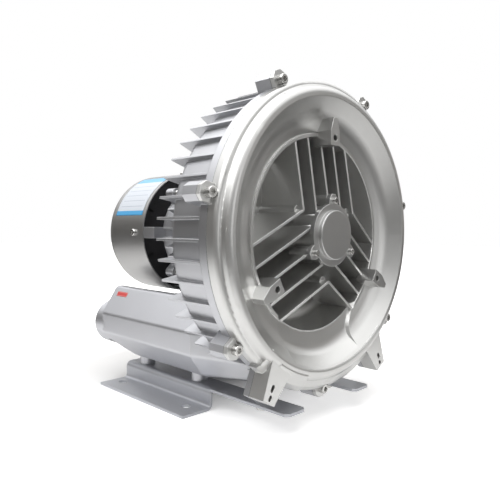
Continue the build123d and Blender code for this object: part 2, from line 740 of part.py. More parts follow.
def make_impeller():
    """Impeller: hub, web and bell in one turned section, with straight blades on both sides of a rim disc."""
    bore = front_bearing[0] / 2
    web_front = impeller_hub_back - impeller_web
    middle = (blade_front + blade_back) / 2
    rim = blade_inner_r
    section = [(bore, impeller_hub_front), (impeller_hub_r, impeller_hub_front),
               (impeller_hub_r, web_front, 3),
               (impeller_web_r, web_front, 3), (rim - impeller_bell, blade_front), (rim, blade_front),
               (rim, middle - impeller_disc / 2), (blade_outer_r, middle - impeller_disc / 2),
               (blade_outer_r, middle + impeller_disc / 2), (rim, middle + impeller_disc / 2),
               (rim, blade_back), (impeller_web_r + impeller_bell, impeller_hub_back, 4),
               (bore, impeller_hub_back)]
    blade = radial_plate([(rim - merge, blade_front), (blade_outer_r, blade_front),
                          (blade_outer_r, blade_back),
                          (rim - merge, blade_back)], blade_thickness)
    wheel = turned(section) + around(blade, [k * 360 / blade_count for k in range(blade_count)])
    return wheel - key_block(screw_clearance, impeller_hub_back - impeller_hub_front)


def key_block(clearance, length):
    """The parallel key, or the slot for it, halfway along the impeller's hub."""
    middle = (impeller_hub_front + impeller_hub_back) / 2
    shaft_r = shaft_steps[0][0]
    low = shaft_r - key_depth
    high = low + key_height + clearance
    section = Pos(0, (low + high) / 2) * Rectangle(key_width, high - low)
    return slab(section, middle - length / 2, middle + length / 2)


def make_shaft():
    """Stepped shaft with a keyway for the impeller and a threaded hole in its front end."""
    front = shaft_front
    steps = []
    for radius, back in shaft_steps:
        steps.append(ring(radius, 0, front, back))
        front = back
    shaft = steps[0] + steps[1:]
    shaft = chamfer(shaft.edges().filter_by(GeomType.CIRCLE).sort_by(Axis.Z)[0], 1)
    thread = ring(end_screw_d / 2, 0, shaft_front - cut_over, shaft_front + end_screw_length)
    return shaft - [key_block(0, key_length), thread]


def make_frame():
    """Motor frame: finned tube with a screwed front flange and four ears at its back end."""
    tube = ring(frame_outer_r, frame_inner_r, drum_back, frame_back)
    flange = ring(frame_flange_r, frame_inner_r, drum_back, frame_flange_back)
    ears = around(frame_ear(drum_back, frame_flange_back), frame_ear_angles)
    ears += around(frame_ear(frame_ear_front, frame_back), frame_ear_angles)
    fin = slab(Pos((frame_outer_r - merge + frame_fin_r) / 2, 0) * Rectangle(
        frame_fin_r - frame_outer_r + merge, frame_fin_thickness), frame_flange_back - merge, frame_ear_front)
    pitch = 360 / frame_fin_count
    angles = [pitch / 2 + k * pitch for k in range(frame_fin_count)]
    box_half = degrees(asin(box_height / 2 / frame_outer_r)) + pitch * 0.8
    clear = [angle for angle in angles if abs(turn(angle, 0)) > box_half
             and min(abs(turn(angle, ear)) for ear in frame_ear_angles) > pitch * 0.6]
    frame = tube + [flange] + around(fin, clear) + ears
    bore = ring(frame_inner_r, 0, drum_back - cut_over, frame_back + cut_over)
    hole = ring(frame_screw_d / 2 + screw_clearance, 0, drum_back - cut_over, frame_back + cut_over)
    return frame - ([bore] + around(Pos(frame_ear_r, 0, 0) * hole, frame_ear_angles))


def turn(angle, start):
    """Turn in degrees from one angle to another, between -180 and 180."""
    return (angle - start + 180) % 360 - 180


def frame_ear(front, back):
    """One screw ear at the motor frame's end, pointing right."""
    link = Pos((frame_inner_r + frame_ear_r) / 2, 0) * Rectangle(frame_ear_r - frame_inner_r, frame_ear_d)
    return slab(link + Pos(frame_ear_r, 0) * Circle(frame_ear_d / 2), front, back)


def cowl_screw_bore(radius):
    """Hole along x through the cowl and the arm under it, at the right."""
    return Pos(frame_outer_r, 0, -cowl_screw_depth) * Rot(0, 90, 0) * extrude(Circle(radius), cowl_r)


def shield_arm():
    """One arm of the end shield, pointing right: a radial foot and a strip that runs back under the cowl."""
    top = cowl_r - cowl_sheet
    foot = slab(Pos((top + frame_inner_r) / 2, 0) * Rectangle(top - frame_inner_r, shield_arm_width),
                frame_back, shield_back)
    strip = slab(Pos(top - shield_arm_thickness / 2, 0) * Rectangle(shield_arm_thickness, shield_arm_width),
                 frame_back, shield_arm_back)
    arm = (foot + strip) & slab(Circle(top), frame_back, shield_arm_back)
    return arm - cowl_screw_bore(cowl_screw_d / 2)


def make_shield():
    """Back end shield: plate with ears and arms, and the hub that holds the back bearing."""
    plate = ring(frame_outer_r, 0, frame_back, shield_back)
    hub = ring(shield_hub_r, 0, frame_back, rear_bearing_back + shield_lip)
    shield = plate + [hub] + around(frame_ear(frame_back, shield_back), frame_ear_angles)
    shield += around(shield_arm(), arm_angles)
    pocket = ring(rear_bearing[1] / 2, 0, frame_back - cut_over, rear_bearing_back)
    passage = ring(rear_bearing[1] / 2 - shield_lip, 0, frame_back - cut_over,
                   rear_bearing_back + 2 * shield_lip)
    hole = Pos(frame_ear_r, 0, 0) * ring(frame_screw_d / 2, 0, frame_back - cut_over, shield_back + cut_over)
    return shield - ([pocket, passage] + around(hole, frame_ear_angles))


def make_cowl():
    """Fan cowl: pressed sheet cup with a rounded back edge, an air grille and four screw holes."""
    inner_r = cowl_r - cowl_sheet
    inner_back = cowl_back - cowl_sheet
    cup = turned([(cowl_r, cowl_front), (cowl_r, cowl_back, cowl_round), (0.0, cowl_back), (0.0, inner_back),
                  (inner_r, inner_back, cowl_round - cowl_sheet), (inner_r, cowl_front)])
    slots = Sketch() + [Circle(outer) - Circle(inner) for inner, outer in grille_rings]
    spoke = Rectangle(2 * cowl_r, grille_spoke_width)
    slots -= [Rot(0, 0, k * 180 / grille_spokes) * spoke for k in range(grille_spokes)]
    hole = cowl_screw_bore(cowl_screw_d / 2 + screw_clearance)
    return cup - (around(hole, arm_angles) + [slab(slots, inner_back - cut_over, cowl_back + cut_over)])


def cowl_screw():
    """Pan head screw that points left, its seat on the cowl's side at the right."""
    height = cowl_screw_d * pan_head_height_ratio
    head = extrude(Circle(cowl_screw_d * pan_head_ratio), height)
    head = fillet(head.edges().sort_by(Axis.Z)[-1], height * 0.4)
    head -= Pos(0, 0, height / 2) * extrude(RegularPolygon(cowl_screw_d * pan_socket_ratio, 6), height)
    return Pos(cowl_r, 0, -cowl_screw_depth) * Rot(0, 90, 0) * (head + shank(cowl_screw_d, cowl_screw_d))


def make_fan():
    """Cooling fan: hub, disc and straight radial blades that narrow towards the tips."""
    hub = ring(fan_hub_r, shaft_steps[-1][0], fan_front, fan_back)
    disc = ring(fan_disc_r, shaft_steps[-1][0], fan_front, fan_front + fan_blade_thickness)
    blade = radial_plate([(fan_hub_r - merge, fan_front), (fan_tip_r, fan_front), (fan_tip_r, fan_tip_back),
                          (fan_root_r, fan_back), (fan_hub_r - merge, fan_back)], fan_blade_thickness)
    return hub + [disc] + around(blade, [k * 360 / fan_blade_count for k in range(fan_blade_count)])


def right_block(x_from, x_to, height, front, back, corner=0.0):
    """A block on the right of the motor between two x planes, rounded along x."""
    section = RectangleRounded(back - front, height, corner) if corner else Rectangle(back - front, height)
    return Pos(x_from, 0, -(front + back) / 2) * Rot(0, 90, 0) * extrude(section, x_to - x_from)


def make_box():
    """Terminal box: saddle on the motor frame and an open box with four screw posts."""
    saddle = right_block(frame_outer_r / 2, box_saddle_x + merge, box_height, box_front, box_back)
    saddle -= ring(frame_outer_r, 0, box_front - cut_over, box_back + cut_over)
    shell = right_block(box_saddle_x, box_lid_x, box_height, box_front, box_back, box_corner)
    inner = right_block(box_saddle_x + box_wall, box_lid_x + cut_over, box_height - 2 * box_wall,
                        box_front + box_wall, box_back - box_wall, box_corner - box_wall)
    post_length = box_depth - box_wall / 2
    post = Pos(0, 0, -box_lid - post_length) * extrude(Circle(lid_screw_d * 1.1), post_length)
    hole = Pos(0, 0, -lid_screw_d - lid_screw_length) * extrude(Circle(lid_screw_d / 2), lid_screw_length)
    box = (saddle + shell - inner) + [spot * post for spot in lid_screw_places()]
    gland_hole = ring(gland_hole_d / 2, 0, box_back - box_wall - cut_over, box_back + cut_over)
    return box - ([spot * hole for spot in lid_screw_places()] + [Pos(gland_x, 0, 0) * gland_hole])


def make_lid():
    """Terminal box lid with rounded edges and four counterbored holes."""
    lid = right_block(box_lid_x, box_lid_x + box_lid, box_height, box_front, box_back, box_corner)
    lid = fillet(lid.faces().sort_by(Axis.X)[-1].edges(), lid_edge)
    hole = Pos(0, 0, -box_lid - cut_over) * extrude(Circle(lid_screw_d / 2 + screw_clearance),
                                                    box_lid + cut_over)
    head_r = lid_screw_d * cap_head_ratio + screw_clearance
    counterbore = Pos(0, 0, -lid_screw_d) * extrude(Circle(head_r), lid_screw_d + cut_over)
    return lid - [spot * cut for spot in lid_screw_places() for cut in (hole, counterbore)]


def make_board():
    """Terminal board with six studs, on the floor of the box."""
    length, height, thick = board_size
    floor = box_saddle_x + box_wall
    board = right_block(floor, floor + thick, height, box_middle_depth - length / 2,
                        box_middle_depth + length / 2)
    stud = extrude(Circle(board_stud_d / 2), board_stud_height)
    spots = [Pos(floor + thick, row * height / 4,
                 -(box_middle_depth + place_along * length / 3)) * Rot(0, 90, 0)
             for row in (-1, 1) for place_along in (-1, 0, 1)]
    return board + [spot * stud for spot in spots]


def make_gland():
    """Cable gland in the back wall of the box: thread, hexagon and domed nut with a cable bore."""
    hex_back = box_back + gland_length / 3
    nut_r = gland_hex / 2 - 1
    end = box_back + gland_length
    thread = ring(gland_hole_d / 2 - running_fit, gland_bore_r, box_back - 2 * box_wall, box_back)
    hexagon = RegularPolygon(gland_hex / 2, 6, major_radius=False) - Circle(gland_bore_r)
    nut = turned([(gland_bore_r, hex_back), (nut_r, hex_back), (nut_r, hex_back + gland_length / 3, 2),
                  (gland_bore_r + 1.5, end, 1), (gland_bore_r, end)])
    return Pos(gland_x, 0, 0) * (thread + [slab(hexagon, box_back, hex_back), nut])


def bracket_section(side, with_foot):
    """Front-view outline of one foot bracket: a Z of bent sheet, or its top flange alone."""
    web_in = bracket_web_x - bracket_sheet / 2
    web_out = bracket_web_x + bracket_sheet / 2
    top_in = web_out - bracket_top_width
    foot_out = web_in + bracket_foot_width + bracket_sheet / 2
    floor = -shaft_height
    inner_bend = bracket_bend
    outer_bend = bracket_bend + bracket_sheet
    low_top = bracket_top_y - bracket_sheet
    if with_foot:
        corners = [(web_in, floor, outer_bend), (foot_out, floor), (foot_out, floor + bracket_sheet),
                   (web_out, floor + bracket_sheet, inner_bend), (web_out, bracket_top_y, outer_bend),
                   (top_in, bracket_top_y), (top_in, low_top), (web_in, low_top, inner_bend)]
    else:
        corners = [(web_out, low_top), (web_out, bracket_top_y), (top_in, bracket_top_y), (top_in, low_top)]
    return outline([(side * corner[0], *corner[1:]) for corner in corners])


def make_bracket(side):
    """Foot bracket: the foot takes the floor bolts, and the top flange reaches forward under the housing."""
    body = slab(bracket_section(side, True), bracket_foot_front_depth, bracket_back_depth)
    body += slab(bracket_section(side, False), bracket_front_depth, bracket_foot_front_depth + merge)
    outer_x = bracket_web_x + bracket_sheet / 2
    inner_x = outer_x - bracket_top_width
    front = bracket_front_depth
    reach = bracket_nose_chamfer
    tip = [(outer_x - reach, front), (inner_x + reach, front), (inner_x, front + reach),
           (inner_x, front - cut_over), (outer_x, front - cut_over), (outer_x, front + reach)]
    nose = make_face(Polyline(*[(side * x, depth) for x, depth in tip], close=True))
    cut_length = bracket_sheet + 2 * cut_over
    body -= Pos(0, low_flange_y - cut_over, 0) * Rot(-90, 0, 0) * extrude(nose, cut_length)
    holes = [(foot_hole_x, foot_hole_d / 2, depth, -shaft_height) for depth in foot_hole_depths]
    holes += [(foot_screw_x, foot_screw_d / 2 + screw_clearance, depth,
               low_flange_y) for depth in foot_screw_depths]
    cuts = [Pos(side * x, y - cut_over, -depth) * Rot(-90, 0, 0) * extrude(Circle(radius), cut_length)
            for x, radius, depth, y in holes]
    return body - cuts


def facing_down(x, y, depth):
    """Place for a screw whose seat is at a height y, with its head below."""
    return Pos(x, y, -depth) * Rot(90, 0, 0)


def facing_back(angle, radius, depth):
    """Place for a screw about the shaft whose head points backwards."""
    return Pos(*polar(radius, angle), -depth) * Rot(180, 0, 0)


def main_parts():
    """Every node of the blower by name."""
    parts = {}
    parts["impeller_housing"] = make_housing()
    parts["front_cover"] = make_cover()
    parts["cover_gasket"] = make_gasket()
    lug_seats = [spot * Pos(0, 0, -lug_seat_depth) for spot in cover_screw_places()]
    parts["cover_screws"] = screw_group(socket_screw(screw_d, screw_length), lug_seats)

    parts["bearing_cap"] = make_cap()
    cap_seats = [Pos(*polar(cap_screw_r, angle), -cap_front) for angle in group_angles]
    parts["bearing_cap_screws"] = screw_group(socket_screw(cap_screw_d, cap_screw_length), cap_seats)
    parts["wave_spring"] = ring(front_bearing[1] / 2 - body_gap, cap_cavity_r + 1, hub_front + cap_spigot,
                                front_bearing_depth)
    parts["front_bearing_outer"], parts["front_bearing_inner"] = races(front_bearing, front_bearing_depth)
    parts["shaft_sleeve"] = ring(sleeve_r, front_bearing[0] / 2, front_bearing_back, impeller_hub_front)
    parts["front_shaft_seal"] = ring(cover_seal_r, sleeve_r + running_fit, cover_seal_depth,
                                     cover_seal_depth + seal_width)
    washer_front = front_bearing_depth - end_washer_thickness
    parts["shaft_end_washer"] = ring(end_washer_r, end_screw_d / 2 + screw_clearance, washer_front,
                                     front_bearing_depth)
    parts["shaft_end_screw"] = Pos(0, 0, -washer_front) * hex_screw(end_screw_d, end_screw_length)

    parts["impeller"] = make_impeller()
    parts["impeller_key"] = key_block(0, key_length)
    parts["shaft"] = make_shaft()
    parts["back_shaft_seal"] = ring(wall_seal_r, shaft_steps[1][0] + running_fit, wall_front + 1,
                                    wall_front + 1 + seal_width)

    parts["motor_frame"] = make_frame()
    parts["motor_flange_screws"] = screw_group(
        socket_screw(frame_screw_d, flange_screw_length),
        [facing_back(angle, frame_ear_r, frame_flange_back) for angle in frame_ear_angles])
    parts["stator_core"] = ring(frame_inner_r, rotor_r + air_gap, stator_front, stator_back)
    parts["stator_windings"] = Compound(children=[
        turned([(winding_inner_r, front), (winding_outer_r, front), (winding_outer_r, back),
                (winding_inner_r, back)])
        for front, back in ((stator_front - winding_height, stator_front),
                            (stator_back, stator_back + winding_height))])
    rotor_core = ring(rotor_r, shaft_steps[2][0], stator_front, stator_back)
    for front in (stator_front - rotor_ring_height, stator_back):
        rotor_core += ring(rotor_r - 2, shaft_steps[2][0] + 5, front, front + rotor_ring_height)
    parts["rotor_core"] = rotor_core
    parts["end_shield"] = make_shield()
    parts["end_shield_screws"] = screw_group(
        socket_screw(frame_screw_d, shield_screw_length),
        [Pos(*polar(frame_ear_r, angle), -frame_ear_front) for angle in frame_ear_angles])
    parts["back_bearing_outer"], parts["back_bearing_inner"] = races(rear_bearing, rear_bearing_depth)
    parts["cooling_fan"] = make_fan()
    parts["fan_clip"] = ring(clip_r, shaft_steps[-1][0], fan_back, fan_back + clip_thickness)
    parts["fan_cowl"] = make_cowl()
    parts["cowl_screws"] = Compound(children=around(cowl_screw(), arm_angles))

    parts["terminal_box"] = make_box()
    parts["terminal_box_lid"] = make_lid()
    lid_seats = [spot * Pos(0, 0, -lid_screw_d) for spot in lid_screw_places()]
    parts["terminal_box_screws"] = screw_group(socket_screw(lid_screw_d, lid_screw_length), lid_seats)
    parts["terminal_board"] = make_board()
    parts["cable_gland"] = make_gland()

    parts["silencer_housing"] = make_silencer()
    bolt_length = silencer_back - lower_body_back_depth + silencer_bolt_grip - cut_over
    parts["silencer_bolts"] = screw_group(
        socket_screw(silencer_bolt_d, bolt_length),
        [Pos(x, y, -silencer_back) * Rot(180, 0, 0) for x, y in silencer_bolt_spots()])
    for side, name in ((-1, "left"), (1, "right")):
        parts["silencer_foam_" + name] = make_foam(side)
        parts["foot_bracket_" + name] = make_bracket(side)
    washer = extrude(Circle(foot_screw_d) - Circle(foot_screw_d / 2 + screw_clearance), foot_washer)
    parts["foot_washers"] = screw_group(washer, [facing_down(x, low_flange_y, depth) for x,
                                                 depth in foot_spots])
    parts["foot_screws"] = screw_group(
        hex_screw(foot_screw_d, foot_screw_length),
        [facing_down(x, low_flange_y - foot_washer, depth) for x, depth in foot_spots])
    return parts


os.makedirs("parts", exist_ok=True)
for name, piece in main_parts().items():
    export_step(place(piece), f"parts/{name}.step")
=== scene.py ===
from math import cos, radians, sin

import bpy
import numpy as np
from mathutils import Matrix, Vector


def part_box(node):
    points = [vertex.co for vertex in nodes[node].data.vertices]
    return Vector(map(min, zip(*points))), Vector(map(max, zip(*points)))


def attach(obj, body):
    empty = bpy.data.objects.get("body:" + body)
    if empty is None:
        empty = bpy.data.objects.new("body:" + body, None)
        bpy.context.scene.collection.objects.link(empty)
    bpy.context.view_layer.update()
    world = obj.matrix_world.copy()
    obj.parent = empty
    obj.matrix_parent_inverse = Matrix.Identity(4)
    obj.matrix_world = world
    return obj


# Side channel blower. The frame comes first: its nodes hold every main shape, and each section below
# dresses one piece or group of pieces. Metres, +Z up, front cover towards -Y, motor towards +Y.
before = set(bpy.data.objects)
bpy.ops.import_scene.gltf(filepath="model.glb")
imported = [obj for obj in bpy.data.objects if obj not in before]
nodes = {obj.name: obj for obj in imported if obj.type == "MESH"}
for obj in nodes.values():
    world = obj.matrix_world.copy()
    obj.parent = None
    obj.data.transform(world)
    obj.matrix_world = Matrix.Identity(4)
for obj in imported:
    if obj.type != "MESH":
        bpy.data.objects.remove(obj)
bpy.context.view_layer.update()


# Cast aluminium: cover, housing, silencer, cap, motor frame, end shield and terminal box.
# The castings are shot blasted and sprayed silver, so they carry a fine grain and a faint mottle where
# the metal flowed; a paler colour along each edge is a painted highlight.
class Nodes:
    """A node tree under construction. An input is another node's output or a plain value, and a tree is
    emptied first unless its nodes are kept."""

    def __init__(self, tree, keep=False):
        self.tree = tree
        if not keep:
            tree.nodes.clear()

    def fill(self, target, value):
        """An input joined to another node's output, or set to a plain value."""
        if isinstance(value, bpy.types.NodeSocket):
            self.tree.links.new(value, target)
        else:
            target.default_value = value

    def add(self, kind, inputs=None, **settings):
        """A node of a kind, set up, with its inputs filled by name or by number."""
        node = self.tree.nodes.new(kind)
        for key, value in settings.items():
            setattr(node, key, value)
        for key, value in (inputs or {}).items():
            self.fill(node.inputs[key], value)
        return node

    def math(self, operation, a, b=0.0):
        """One sum, product or comparison of two numbers."""
        return self.add("ShaderNodeMath", {0: a, 1: b}, operation=operation).outputs[0]

    def vector(self, operation, a, b=(0, 0, 0)):
        """One step of vector arithmetic; a dot product, length or distance comes out as a number."""
        node = self.add("ShaderNodeVectorMath", {0: a, 1: b}, operation=operation)
        is_number = operation in ("DOT_PRODUCT", "LENGTH", "DISTANCE")
        return node.outputs["Value" if is_number else "Vector"]

    def parts(self, value):
        """The X, Y and Z of a vector, as outputs to pick by name."""
        return self.add("ShaderNodeSeparateXYZ", {"Vector": value}).outputs

    def span(self, value, low, high, to_low, to_high):
        """A value carried from one range to another along a straight line, held at its ends."""
        inputs = {"Value": value, "From Min": low, "From Max": high, "To Min": to_low, "To Max": to_high}
        return self.add("ShaderNodeMapRange", inputs, clamp=True).outputs["Result"]

    def blend(self, factor, a, b):
        """A colour on the way from a to b. The Mix node's colours are inputs 6 and 7 and output 2."""
        return self.add("ShaderNodeMix", {0: factor, 6: a, 7: b}, data_type="RGBA").outputs[2]

    def place(self):
        """Object coordinates, in metres."""
        return self.add("ShaderNodeTexCoord").outputs["Object"]

    def noise(self, scale, detail=2.0, roughness=0.5):
        """Soft noise over the object: a scale of 100 has about one swell in each 10 mm."""
        inputs = {"Vector": self.place(), "Scale": scale, "Detail": detail, "Roughness": roughness}
        return self.add("ShaderNodeTexNoise", inputs).outputs["Fac"]

    def vary(self, noise, low, high):
        """A range covered by noise, which lies mostly in the middle of its own range from 0 to 1."""
        mostly_from, mostly_to = 0.3, 0.7
        return self.span(noise, mostly_from, mostly_to, low, high)


def shader_group(name, inputs, outputs):
    """A shader node group with named float or colour sockets; inputs give (name, kind, value)."""
    tree = bpy.data.node_groups.new(name, "ShaderNodeTree")
    for label, kind, value in inputs:
        socket = tree.interface.new_socket(label, in_out="INPUT", socket_type="NodeSocket" + kind)
        socket.default_value = value
    for label, kind in outputs:
        tree.interface.new_socket(label, in_out="OUTPUT", socket_type="NodeSocket" + kind)
    made = Nodes(tree)
    return made, made.add("NodeGroupInput").outputs, made.add("NodeGroupOutput").inputs


def make_cast_skin():
    """Blasted and sprayed casting: fine grain in the normal, slow mottle in colour and roughness, and
    a painted highlight, a paler colour along edges where the rounded normal leaves the flat one."""
    made, given, result = shader_group(
        "cast_skin",
        [("Color", "Color", (0.6, 0.6, 0.6, 1)), ("Roughness", "Float", 0.35),
         ("Grain size", "Float", 1500.0), ("Grain", "Float", 0.1), ("Mottle", "Float", 0.06),
         ("Edge radius", "Float", 0.0008), ("Edge light", "Float", 0.3)],
        [("Color", "Color"), ("Roughness", "Float"), ("Normal", "Vector")])
    # Painted highlight: the pale colour that edges are blended towards.
    painted_edge_highlight = (0.92, 0.92, 0.91, 1)
    edge_starts, edge_full = 0.99, 0.80
    flow_scale, smudge_scale = 22.0, 95.0
    flow_depth, smudge_depth = 0.04, 0.03
    noise_middle = 0.5
    mottle_gain = 2.0
    grain_height = 0.0004

    grain = made.noise(given["Grain size"], detail=3.0)
    flow = made.noise(flow_scale, detail=4.0, roughness=0.6)
    smudge = made.noise(smudge_scale)
    rounded = made.add("ShaderNodeBevel", {"Radius": given["Edge radius"]}, samples=4).outputs[0]
    flat = made.add("ShaderNodeNewGeometry").outputs["Normal"]
    edge = made.span(made.vector("DOT_PRODUCT", rounded, flat), edge_starts, edge_full, 0.0, 1.0)

    drift = made.math("SUBTRACT", flow, noise_middle)
    mottle = made.math("MULTIPLY", made.math("MULTIPLY", drift, given["Mottle"]), mottle_gain)
    shade = made.math("ADD", 1.0, mottle)
    toned = made.add("ShaderNodeVectorMath", {0: given["Color"], "Scale": shade}, operation="SCALE")
    # Painted highlight along the edges, as strong as Edge light says.
    light = made.math("MULTIPLY", edge, given["Edge light"])
    smudged = made.math("MULTIPLY", made.math("SUBTRACT", smudge, noise_middle), smudge_depth)
    flowing = made.math("MULTIPLY", drift, flow_depth)
    bump = made.add("ShaderNodeBump", {"Height": grain, "Strength": given["Grain"],
                                       "Distance": grain_height, "Normal": rounded})
    made.fill(result["Color"], made.blend(light, toned.outputs[0], painted_edge_highlight))
    made.fill(result["Roughness"], made.math("ADD", given["Roughness"], made.math("ADD", smudged, flowing)))
    made.fill(result["Normal"], bump.outputs[0])
    return made.tree


cast_skin = make_cast_skin()


def new_material(name):
    """An empty node material: its nodes, the inputs of its Principled shader, and the material."""
    finished = bpy.data.materials.new(name)
    finished.use_nodes = True
    made = Nodes(finished.node_tree)
    shader = made.add("ShaderNodeBsdfPrincipled")
    made.add("ShaderNodeOutputMaterial", {"Surface": shader.outputs[0]})
    return made, shader.inputs, finished


def cast_material(name, color, roughness, metallic=0.85, **skin):
    """A finish for cast or sheet metal, from the cast skin group, with its own colour and grain."""
    made, surface, finished = new_material(name)
    inputs = {"Color": (*color, 1), "Roughness": roughness}
    inputs.update({key.replace("_", " ").capitalize(): value for key, value in skin.items()})
    group = made.add("ShaderNodeGroup", node_tree=cast_skin)
    for key, value in inputs.items():
        group.inputs[key].default_value = value
    for label, output in (("Base Color", "Color"), ("Roughness", "Roughness"), ("Normal", "Normal")):
        made.fill(surface[label], group.outputs[output])
    surface["Metallic"].default_value = metallic
    return finished


def dress(finish, *names):
    """A CAD node, or several, in one finish."""
    for name in names:
        worn = nodes[name].data.materials
        worn.clear()
        worn.append(finish)


silver_cover = cast_material("silver_cover", color=(0.58, 0.58, 0.57), roughness=0.31, metallic=0.82,
                             grain=0.02, mottle=0.02, edge_light=0.40)
silver_cap = cast_material("silver_cap", color=(0.47, 0.47, 0.465), roughness=0.36,
                           grain=0.03, mottle=0.03, edge_light=0.45)
silver_housing = cast_material("silver_housing", color=(0.47, 0.475, 0.495), roughness=0.36,
                               grain=0.06, mottle=0.05, edge_light=0.40)
silver_box = cast_material("silver_box", color=(0.50, 0.505, 0.53), roughness=0.40,
                           grain=0.06, mottle=0.04, edge_light=0.35)
dress(silver_cover, "front_cover")
dress(silver_cap, "bearing_cap")
dress(silver_housing, "impeller_housing", "motor_frame", "end_shield")
dress(silver_box, "silencer_housing", "terminal_box", "terminal_box_lid")


# Bent and drawn steel: the two foot brackets are folded from punched sheet, and the fan cowl is a deep
# drawn cup that slips over the motor's back end. Both are sprayed a satin silver grey, and the cowl's
# inside is painted near black, a painted shade for the dark inside of the cup.
bracket_silver = cast_material("bracket_silver", color=(0.46, 0.47, 0.50), roughness=0.38, metallic=0.55,
                               grain=0.10, grain_size=1400.0, edge_radius=0.0006, edge_light=0.30,
                               mottle=0.03)
cowl_silver = cast_material("cowl_silver", color=(0.37, 0.368, 0.365), roughness=0.34,
                            grain=0.05, edge_radius=0.0004, edge_light=0.25, mottle=0.03)
dress(bracket_silver, "foot_bracket_left", "foot_bracket_right")
dress(cowl_silver, "fan_cowl")

cowl_low, cowl_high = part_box("fan_cowl")
cowl_radius = (cowl_high[0] - cowl_low[0]) / 2
shaft_x = (cowl_low[0] + cowl_high[0]) / 2
shaft_z = (cowl_low[2] + cowl_high[2]) / 2


def blacken_inside(finish):
    """Near-black painted shade where a face looks at the shaft axis, or forward from the back wall: its
    normal has a part of more than a quarter along that way. The rim's own edge, a millimetre deep, keeps its
    silver."""
    # Near-black painted shade for the cowl's dark inside.
    painted_inside_shade = (0.012, 0.012, 0.013, 1)
    turned_away = -0.25
    rim_edge = 0.001
    made = Nodes(finish.node_tree, keep=True)
    shader = next(node for node in made.tree.nodes if node.type == "BSDF_PRINCIPLED")
    base_color = shader.inputs["Base Color"]
    sprayed = base_color.links[0].from_socket
    place = made.place()
    from_axis = made.vector("SUBTRACT", place, (shaft_x, 0, shaft_z))
    outward = made.vector("NORMALIZE", made.vector("MULTIPLY", from_axis, (1, 0, 1)))
    facing = made.add("ShaderNodeNewGeometry").outputs["Normal"]
    looks_in = made.math("LESS_THAN", made.vector("DOT_PRODUCT", outward, facing), turned_away)
    looks_forward = made.math("LESS_THAN", made.parts(facing)["Y"], turned_away)
    behind_rim = made.math("GREATER_THAN", made.parts(place)["Y"], cowl_low[1] + rim_edge)
    inside = made.math("MULTIPLY", made.math("MAXIMUM", looks_in, looks_forward), behind_rim)
    # Painted shade: the cowl's inside faces are blended to near black.
    made.fill(base_color, made.blend(inside, sprayed, painted_inside_shade))


blacken_inside(cowl_silver)


# Screws, washers, shafts, bearings, springs and cores: turned, rolled or stamped steel. Fasteners have
# bright zinc, a little duller in patches, and ground and hardened parts are left bare. The impeller is
# an aluminium casting, machined on its faces.
def plated_material(name, color, roughness, streak=0.06):
    """Plated or ground steel: fine noise moves the roughness by a streak, slow noise dulls the colour."""
    dulled = 0.72
    slow_from, slow_to = 0.35, 0.65
    edge_radius = 0.0004
    scratch, scratch_height = 0.05, 0.0003
    fine_scale, slow_scale = 650.0, 120.0
    made, surface, finished = new_material(name)
    fine = made.noise(fine_scale, detail=4.0)
    slow = made.noise(slow_scale)
    dull = tuple(channel * dulled for channel in color)
    tone = made.blend(made.span(slow, slow_from, slow_to, 0.0, 1.0), (*dull, 1), (*color, 1))
    rounded = made.add("ShaderNodeBevel", {"Radius": edge_radius}, samples=4).outputs[0]
    bump = made.add("ShaderNodeBump", {"Height": fine, "Strength": scratch, "Distance": scratch_height,
                                       "Normal": rounded})
    surface["Metallic"].default_value = 1.0
    made.fill(surface["Base Color"], tone)
    made.fill(surface["Roughness"], made.vary(fine, roughness - streak, roughness + streak))
    made.fill(surface["Normal"], bump.outputs[0])
    return finished


bright_zinc = plated_material("bright_zinc", color=(0.62, 0.615, 0.60), roughness=0.26)
ground_steel = plated_material("ground_steel", color=(0.60, 0.61, 0.62), roughness=0.20)
bearing_steel = plated_material("bearing_steel", color=(0.72, 0.73, 0.74), roughness=0.12, streak=0.03)
spring_steel = plated_material("spring_steel", color=(0.40, 0.40, 0.41), roughness=0.30)
core_steel = plated_material("core_steel", color=(0.30, 0.30, 0.31), roughness=0.45)
cast_wheel = cast_material("cast_wheel", color=(0.70, 0.71, 0.72), roughness=0.34, grain=0.2)
dress(bright_zinc, "cover_screws", "bearing_cap_screws", "motor_flange_screws", "end_shield_screws",
      "cowl_screws", "terminal_box_screws", "silencer_bolts", "foot_washers", "foot_screws",
      "shaft_end_washer", "shaft_end_screw")
dress(ground_steel, "shaft", "shaft_sleeve", "impeller_key")
dress(bearing_steel, "front_bearing_outer", "front_bearing_inner", "back_bearing_outer",
      "back_bearing_inner")
dress(spring_steel, "wave_spring", "fan_clip")
dress(core_steel, "stator_core", "rotor_core")
dress(cast_wheel, "impeller")


# Mouldings, rubber, fibre, foam and varnished wire: the fan, the cable gland and the terminal board are
# dark plastic, the seals rubber, the gasket pressed fibre, the silencer's tubes open foam, and the
# windings enamelled wire dipped in varnish.
def moulded_material(name, color, roughness, grain_scale=700.0, grain=0.15, coat=0.0):
    """A matt moulding: fine noise moves its colour towards a paler one, and its roughness by a little."""
    pale_gain, pale_lift = 1.5, 0.01
    roughness_swing = 0.06
    grain_height = 0.0006
    made, surface, finished = new_material(name)
    fine = made.noise(grain_scale, detail=4.0)
    pale = tuple(min(1.0, channel * pale_gain + pale_lift) for channel in color)
    bump = made.add("ShaderNodeBump", {"Height": fine, "Strength": grain, "Distance": grain_height})
    made.fill(surface["Base Color"], made.blend(fine, (*color, 1), (*pale, 1)))
    made.fill(surface["Roughness"], made.vary(fine, roughness - roughness_swing, roughness + roughness_swing))
    made.fill(surface["Normal"], bump.outputs[0])
    surface["Coat Weight"].default_value = coat
    return finished


